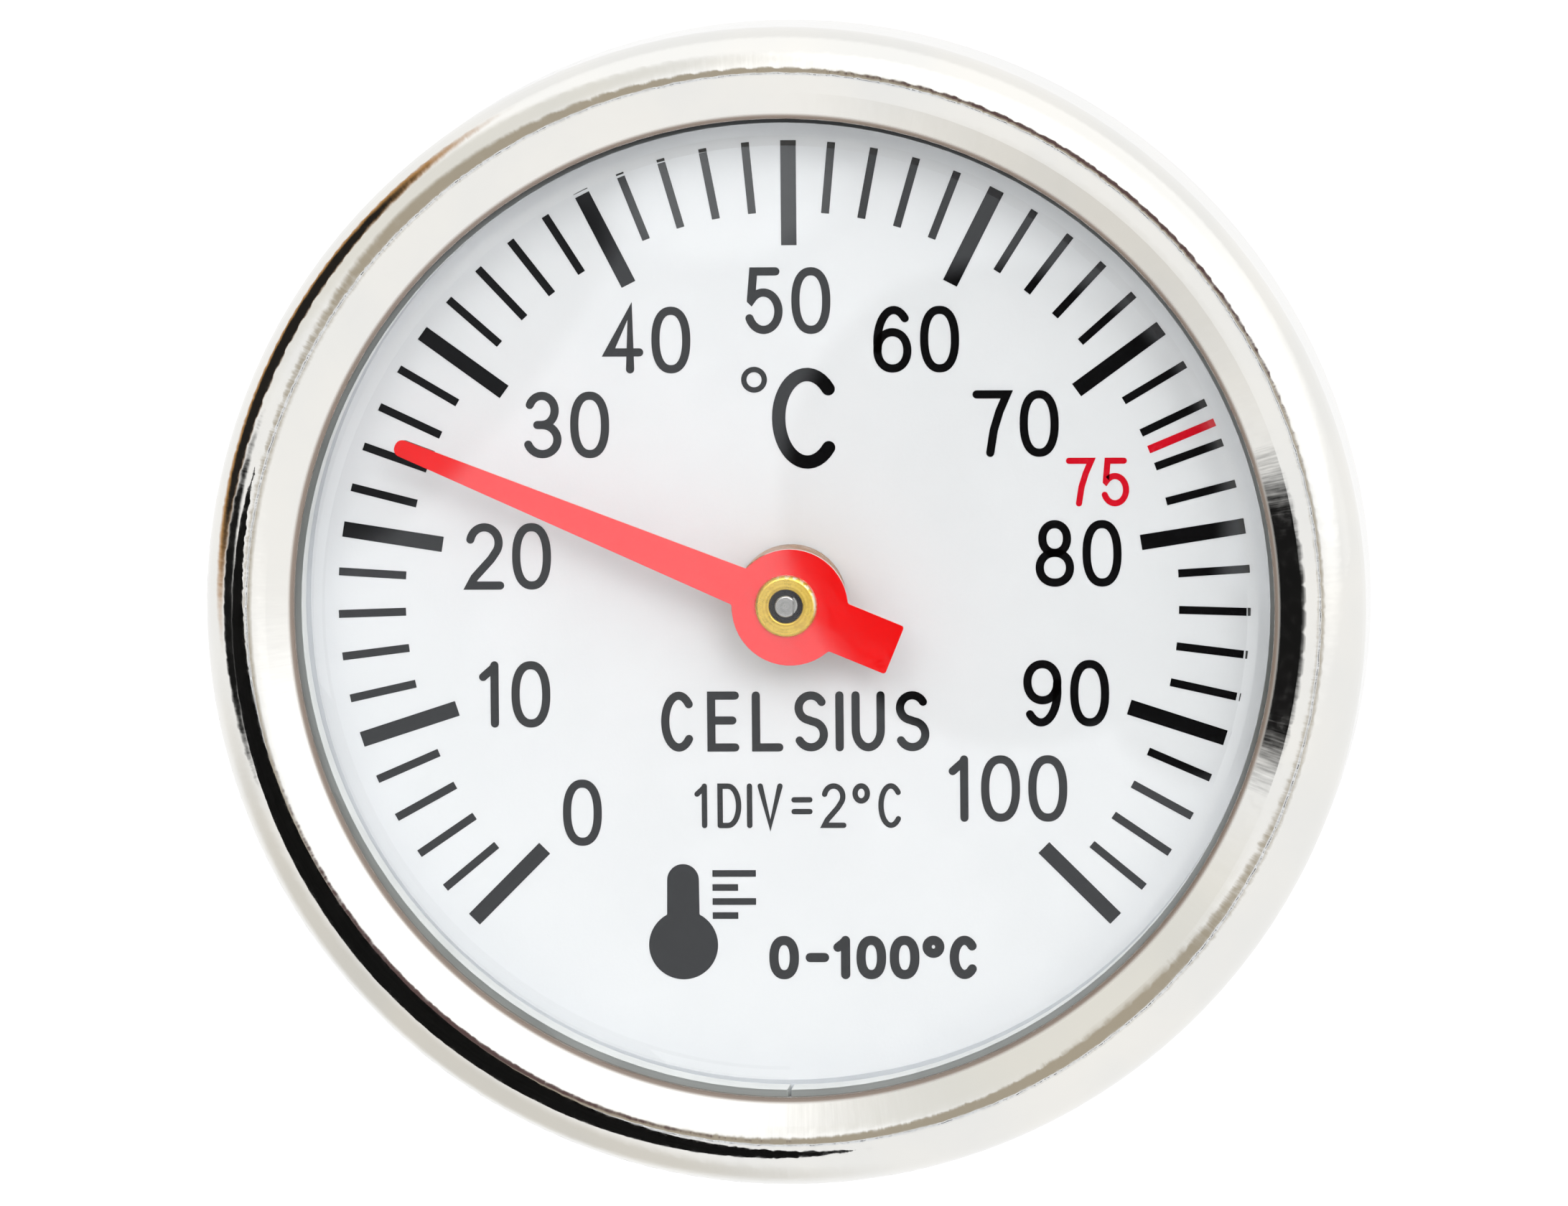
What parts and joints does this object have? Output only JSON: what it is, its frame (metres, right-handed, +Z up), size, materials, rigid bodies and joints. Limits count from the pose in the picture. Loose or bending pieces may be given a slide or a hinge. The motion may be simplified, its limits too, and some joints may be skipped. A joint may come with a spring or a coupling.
{
  "type": "dial thermometer",
  "caption": "Bimetal dial thermometer: round white dial with red pointer under a clear lens in a bright bezel, on a thin straight steel stem behind the head.",
  "frame": {"origin": "on the stem's axis, where the stem leaves the hex nut", "axes": "+Y along the stem to its tip, so the dial faces -Y; +Z up, through the 50 degree mark; +X to the right as the dial is read"},
  "size_m": [0.045, 0.1441, 0.045],
  "materials": {
    "stem_steel": "ground and polished stainless steel, fine lines round the stem",
    "nut_plating": "bright nickel plating over turned brass",
    "fibre": "red vulcanised fibre",
    "spring_steel": "bright spring steel",
    "brass": "turned brass, slightly tarnished",
    "bimetal": "rolled bimetal strip",
    "pointer_red": "semi-gloss red enamel on stamped aluminium",
    "case_steel": "drawn stainless steel, brushed",
    "dial_white": "matt cool white enamel, screen printed",
    "dial_ink": "charcoal black screen-printing ink",
    "dial_ink_red": "red screen-printing ink",
    "spacer_grey": "satin grey strip",
    "gasket_rubber": "soft grey rubber",
    "lens_clear": "clear lens, polished",
    "bezel_chrome": "polished nickel-plated drawn steel"
  },
  "bodies": {
    "stem": {"stem_tube": "stem_steel", "tip_plug": "stem_steel", "calibration_nut": "nut_plating", "friction_washer": "fibre", "spring_washer": "spring_steel", "retaining_clip": "spring_steel", "front_bush": "brass", "guide_bush_lower": "brass", "guide_bush_upper": "brass", "bimetal_coil": "bimetal"},
    "pointer": {"shaft": "spring_steel", "coil_collet": "brass", "pointer_boss": "brass", "pointer": "pointer_red"},
    "head": {"case": "case_steel", "dial_plate": "dial_white", "spacer_ring": "spacer_grey", "lens_gasket": "gasket_rubber", "lens": "lens_clear", "bezel": "bezel_chrome"}
  },
  "joints": [
    {"name": "pointer_turn", "type": "hinge", "parent": "stem", "child": "pointer", "pos_m": [0, 0, 0], "axis": [0, 1, 0], "range_deg": [-67.5, 202.5], "stiffness_Nm_per_rad": 0.0006, "deforming": ["bimetal_coil"]},
    {"name": "case_turn", "type": "hinge", "parent": "stem", "child": "head", "pos_m": [0, 0, 0], "axis": [0, 1, 0], "continuous": true}
  ]
}
